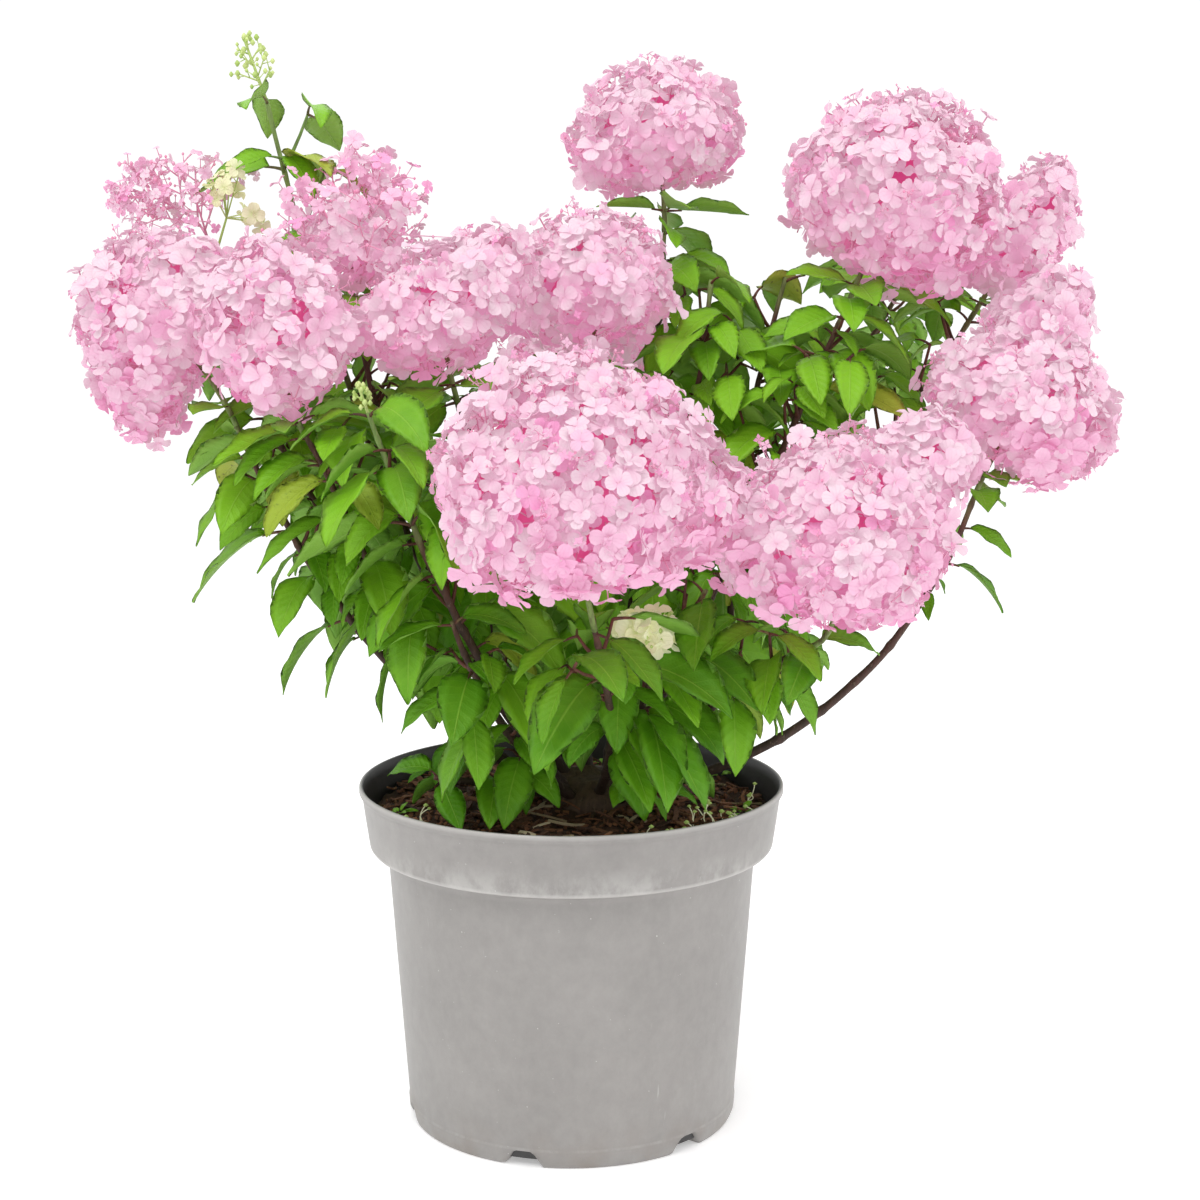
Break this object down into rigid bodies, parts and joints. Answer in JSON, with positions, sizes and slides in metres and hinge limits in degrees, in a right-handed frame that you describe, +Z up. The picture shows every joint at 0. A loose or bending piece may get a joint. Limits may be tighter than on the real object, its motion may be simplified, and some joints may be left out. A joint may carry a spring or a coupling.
{
  "type": "potted panicle hydrangea",
  "caption": "Panicle hydrangea shrub with round pink flower heads and toothed green leaves, standing in a round grey plastic nursery pot with a deep collar.",
  "frame": {"origin": "centre of the flat underside of the pot", "axes": "+Z up the pot's axis, -Y the front of the plant, +X to the right seen from the front"},
  "size_m": [0.6104, 0.4611, 0.661],
  "materials": {
    "pot_plastic": "mid-grey moulded plastic, lightly scuffed",
    "compost": "dark brown bark compost",
    "bark": "dark brown stems with faint bark",
    "foliage": "mid-green leaves, slightly glossy above",
    "pink_petals": "soft pale pink petals",
    "cream_petals": "soft cream-green petals"
  },
  "bodies": {
    "root": {"bough_back": "bark", "bough_back_left": "bark", "bough_back_right": "bark", "bough_centre": "bark", "bough_far_left": "bark", "bough_far_right": "bark", "bough_front": "bark", "bough_front_left": "bark", "bough_right_back": "bark", "bough_right_front": "bark", "bough_tall_left": "bark", "bough_top_centre": "bark", "bough_top_right": "bark", "bough_upper_left": "bark", "compost": "compost", "flowers_back": "pink_petals", "flowers_back_left": "pink_petals", "flowers_back_right": "pink_petals", "flowers_back_right_low": "pink_petals", "flowers_centre": "pink_petals", "flowers_centre_left": "pink_petals", "flowers_cream": "cream_petals", "flowers_far_left": "pink_petals", "flowers_far_right": "pink_petals", "flowers_front": "pink_petals", "flowers_left": "pink_petals", "flowers_left_tip": "pink_petals", "flowers_right_back": "pink_petals", "flowers_right_front": "pink_petals", "flowers_top_centre": "pink_petals", "flowers_top_right": "pink_petals", "flowers_upper_left": "pink_petals", "leaves_back": "foliage", "leaves_back_left": "foliage", "leaves_back_right": "foliage", "leaves_back_right_low": "foliage", "leaves_centre": "foliage", "leaves_centre_left": "foliage", "leaves_centre_right": "foliage", "leaves_cream": "foliage", "leaves_far_left": "foliage", "leaves_far_right": "foliage", "leaves_front": "foliage", "leaves_front_left": "foliage", "leaves_inner_front": "foliage", "leaves_inner_left": "foliage", "leaves_inner_right": "foliage", "leaves_left": "foliage", "leaves_left_tip": "foliage", "leaves_low_left": "foliage", "leaves_low_right": "foliage", "leaves_right_back": "foliage", "leaves_right_front": "foliage", "leaves_tall_left": "foliage", "leaves_top_centre": "foliage", "leaves_top_right": "foliage", "leaves_upper_left": "foliage", "pot": "pot_plastic", "stool": "bark"}
  },
  "joints": []
}
